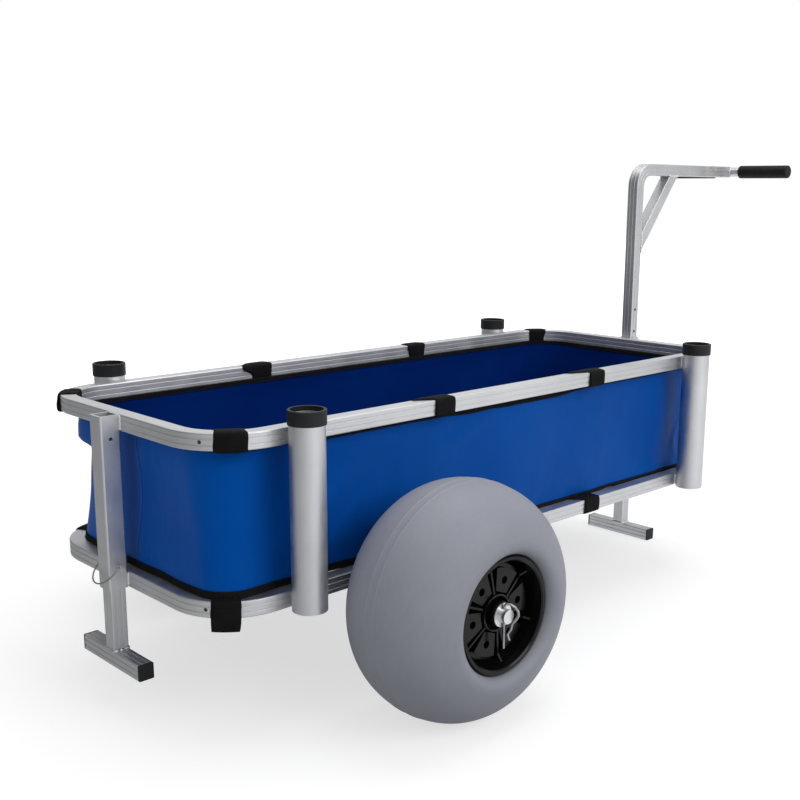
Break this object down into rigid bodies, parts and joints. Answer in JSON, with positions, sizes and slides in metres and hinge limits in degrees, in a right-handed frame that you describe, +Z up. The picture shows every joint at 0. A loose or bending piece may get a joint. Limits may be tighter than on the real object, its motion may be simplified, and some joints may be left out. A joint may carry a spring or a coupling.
{
  "type": "fishing trolley",
  "caption": "Beach fishing trolley: a rounded tube-frame basket with a hung fabric liner on balloon wheels, with telescopic legs, rod holders and a raised T handle.",
  "frame": {"origin": "middle of the underside of the bounding box, on the ground under the tyres and the rear foot", "axes": "+X to the handle end, +Y to the far side, +Z up; the near side with the lock pins' heads is -Y"},
  "size_m": [1.5208, 0.8492, 0.7472],
  "materials": {
    "aluminium": "satin drawn tube with extruded grooves",
    "steel": "zinc plated",
    "rim_plastic": "moulded, glossy",
    "cap_plastic": "moulded, matt",
    "tyre_grey": "smooth, soft sheen",
    "grip_rubber": "matt",
    "liner_fabric": "coated, soft sheen",
    "black_webbing": "woven tape, matt"
  },
  "bodies": {
    "frame": {"top_ring": "aluminium", "bottom_ring": "aluminium", "floor_bar_front": "aluminium", "floor_bar_middle": "aluminium", "floor_bar_rear": "aluminium", "socket_front": "aluminium", "socket_rear": "aluminium", "rod_holder_front_near": "aluminium", "rod_holder_front_far": "aluminium", "rod_holder_rear_near": "aluminium", "rod_holder_rear_far": "aluminium", "axle": "steel", "axle_clamp_near": "steel", "axle_clamp_far": "steel", "clamp_bolts": "steel", "washer_near": "steel", "washer_far": "steel", "r_clip_near": "steel", "r_clip_far": "steel", "holder_cap_front_near": "cap_plastic", "holder_cap_front_far": "cap_plastic", "holder_cap_rear_near": "cap_plastic", "holder_cap_rear_far": "cap_plastic", "axle_spacer_near": "cap_plastic", "axle_spacer_far": "cap_plastic", "liner": "liner_fabric", "liner_top_binding": "black_webbing", "liner_bottom_binding": "black_webbing", "top_straps": "black_webbing", "bottom_straps": "black_webbing"},
    "wheel_near": {"rim_near": "rim_plastic", "tyre_near": "tyre_grey", "bush_outer_near": "cap_plastic", "bush_inner_near": "cap_plastic"},
    "wheel_far": {"rim_far": "rim_plastic", "tyre_far": "tyre_grey", "bush_outer_far": "cap_plastic", "bush_inner_far": "cap_plastic"},
    "leg_front": {"leg_tube_front": "aluminium", "foot_bar_front": "aluminium", "foot_plugs_front": "cap_plastic"},
    "leg_rear": {"leg_tube_rear": "aluminium", "foot_bar_rear": "aluminium", "foot_plugs_rear": "cap_plastic"},
    "handle": {"handle_post": "aluminium", "handle_brace": "aluminium", "handle_bar": "aluminium", "grip_near": "grip_rubber", "grip_far": "grip_rubber"},
    "leg_pin_front": {"leg_pin_front": "steel"},
    "leg_bail_front": {"leg_bail_front": "steel"},
    "leg_pin_rear": {"leg_pin_rear": "steel"},
    "leg_bail_rear": {"leg_bail_rear": "steel"},
    "handle_pin": {"handle_pin": "steel"},
    "handle_bail": {"handle_bail": "steel"}
  },
  "joints": [
    {"name": "wheel_near_turn", "type": "hinge", "parent": "frame", "child": "wheel_near", "pos_m": [-0.41117, -0.33, 0.1635], "axis": [0, 1, 0], "continuous": true},
    {"name": "wheel_far_turn", "type": "hinge", "parent": "frame", "child": "wheel_far", "pos_m": [-0.41117, 0.33, 0.1635], "axis": [0, 1, 0], "continuous": true},
    {"name": "leg_front_slide", "type": "slide", "parent": "frame", "child": "leg_front", "axis": [0, 0, 1], "range_m": [-0.064, 0]},
    {"name": "leg_rear_slide", "type": "slide", "parent": "frame", "child": "leg_rear", "axis": [0, 0, 1], "range_m": [0, 0.064]},
    {"name": "handle_slide", "type": "slide", "parent": "frame", "child": "handle", "axis": [0, 0, 1], "range_m": [-0.086, 0]},
    {"name": "leg_pin_front_push", "type": "slide", "parent": "frame", "child": "leg_pin_front", "axis": [0, 1, 0], "range_m": [0, 0.005]},
    {"name": "leg_bail_front_swing", "type": "hinge", "parent": "leg_pin_front", "child": "leg_bail_front", "pos_m": [-0.73316, -0.0223, 0.2043], "axis": [-0.7071, 0, 0.7071], "range_deg": [0, 150]},
    {"name": "leg_pin_rear_push", "type": "slide", "parent": "frame", "child": "leg_pin_rear", "axis": [0, 1, 0], "range_m": [0, 0.005]},
    {"name": "leg_bail_rear_swing", "type": "hinge", "parent": "leg_pin_rear", "child": "leg_bail_rear", "pos_m": [0.41484, -0.0223, 0.2043], "axis": [-0.7071, 0, -0.7071], "range_deg": [0, 150]},
    {"name": "handle_pin_push", "type": "slide", "parent": "frame", "child": "handle_pin", "axis": [0, 1, 0], "range_m": [0, 0.005]},
    {"name": "handle_bail_swing", "type": "hinge", "parent": "handle_pin", "child": "handle_bail", "pos_m": [0.41484, -0.0223, 0.3773], "axis": [-0.7071, 0, -0.7071], "range_deg": [0, 150]}
  ]
}
